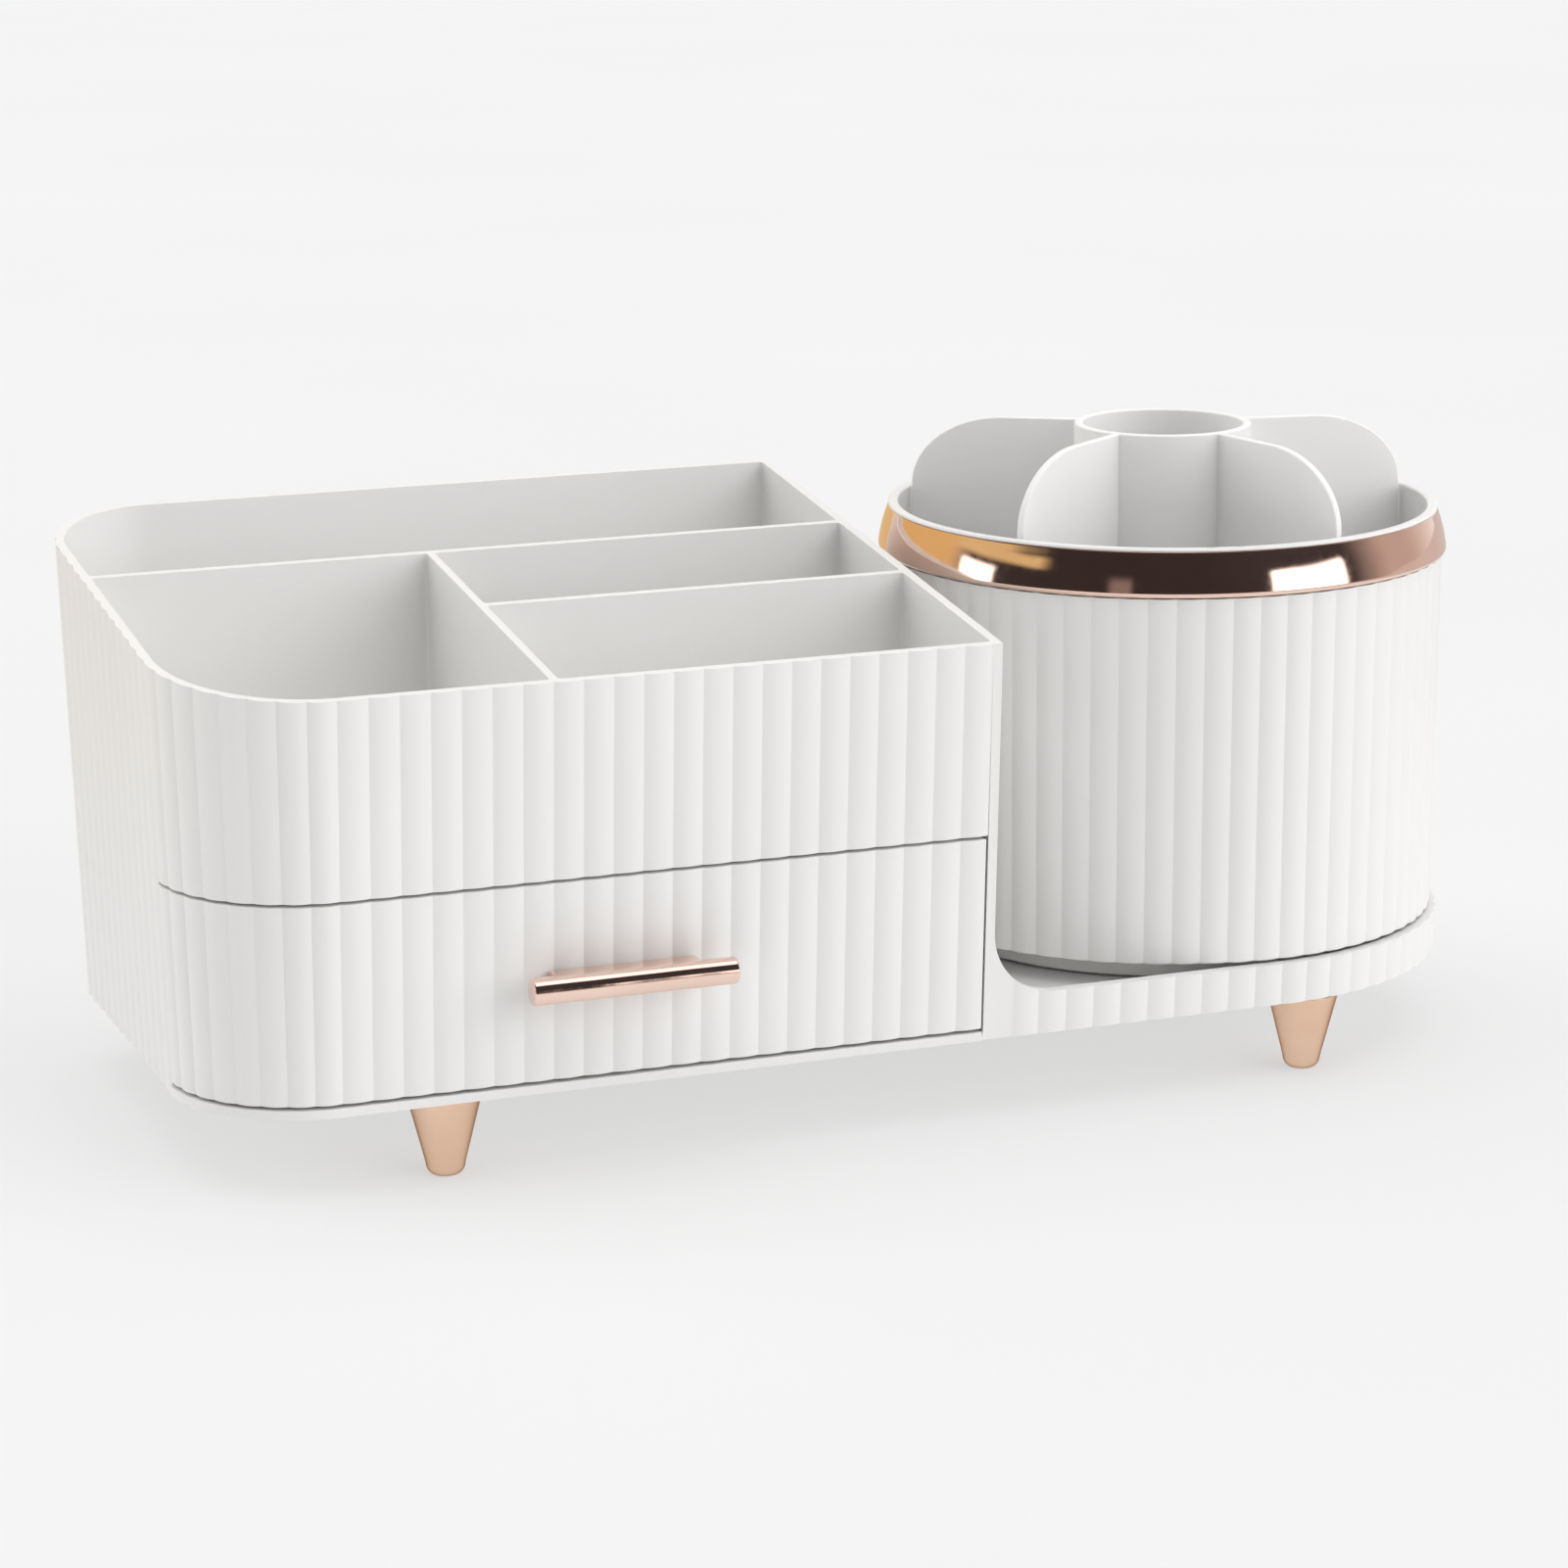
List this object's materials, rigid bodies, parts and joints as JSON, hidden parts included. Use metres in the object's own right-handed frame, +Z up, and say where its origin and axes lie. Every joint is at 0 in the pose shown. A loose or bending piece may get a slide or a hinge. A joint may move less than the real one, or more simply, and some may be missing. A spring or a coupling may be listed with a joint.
{
  "type": "rotating makeup organizer",
  "caption": "White fluted vanity caddy with open compartments and a pull-out drawer, and a round fluted brush cup with a rose gold ring that turns on the same base.",
  "frame": {"origin": "on the surface that the feet stand on, under the middle of the whole object's box", "axes": "+X along the length, from the caddy towards the turning cup; +Y from the drawer's front to the rear; +Z up"},
  "size_m": [0.3213, 0.1526, 0.1433],
  "materials": {
    "white_plastic": "satin moulded ABS, warm white",
    "insert_plastic": "satin moulded ABS, warm white",
    "rose_gold_plating": "polished rose gold plating",
    "satin_rose_gold": "satin rose gold",
    "zinc_steel": "zinc plated",
    "natural_nylon": "natural, matte"
  },
  "bodies": {
    "body": {"tray_shell": "white_plastic", "base_shell": "white_plastic", "pivot_washer": "zinc_steel", "pivot_screw": "zinc_steel", "foot_front_left": "satin_rose_gold", "foot_rear_left": "satin_rose_gold", "foot_front_right": "satin_rose_gold", "foot_rear_right": "satin_rose_gold", "foot_screw_front_left": "zinc_steel", "foot_screw_rear_left": "zinc_steel", "foot_screw_front_right": "zinc_steel", "foot_screw_rear_right": "zinc_steel"},
    "sliding_drawer": {"drawer": "white_plastic", "handle_bar": "rose_gold_plating", "handle_post_left": "rose_gold_plating", "handle_post_right": "rose_gold_plating", "handle_screw_left": "zinc_steel", "handle_screw_right": "zinc_steel"},
    "turning_cup": {"turntable_disc": "white_plastic", "cup_shell": "white_plastic", "cup_ring": "rose_gold_plating", "divider_insert": "insert_plastic", "cup_screw_1": "zinc_steel", "cup_screw_2": "zinc_steel", "cup_screw_3": "zinc_steel"},
    "rolling_cage": {"ball_cage": "natural_nylon", "ball_1": "zinc_steel", "ball_2": "zinc_steel", "ball_3": "zinc_steel", "ball_4": "zinc_steel", "ball_5": "zinc_steel", "ball_6": "zinc_steel", "ball_7": "zinc_steel", "ball_8": "zinc_steel", "ball_9": "zinc_steel", "ball_10": "zinc_steel", "ball_11": "zinc_steel", "ball_12": "zinc_steel"}
  },
  "joints": [
    {"name": "drawer_slide", "type": "slide", "parent": "body", "child": "sliding_drawer", "axis": [0, -1, 0], "range_m": [0, 0.105]},
    {"name": "cup_spin", "type": "hinge", "parent": "body", "child": "turning_cup", "pos_m": [0.09375, 0.00371, 0.0235], "axis": [0, 0, 1], "continuous": true},
    {"name": "cage_spin", "type": "hinge", "parent": "body", "child": "rolling_cage", "pos_m": [0.09375, 0.00371, 0.0251], "axis": [0, 0, 1], "continuous": true}
  ],
  "couplings": [
    {"joint": "cage_spin", "follows": "cup_spin", "ratio": 0.5}
  ]
}
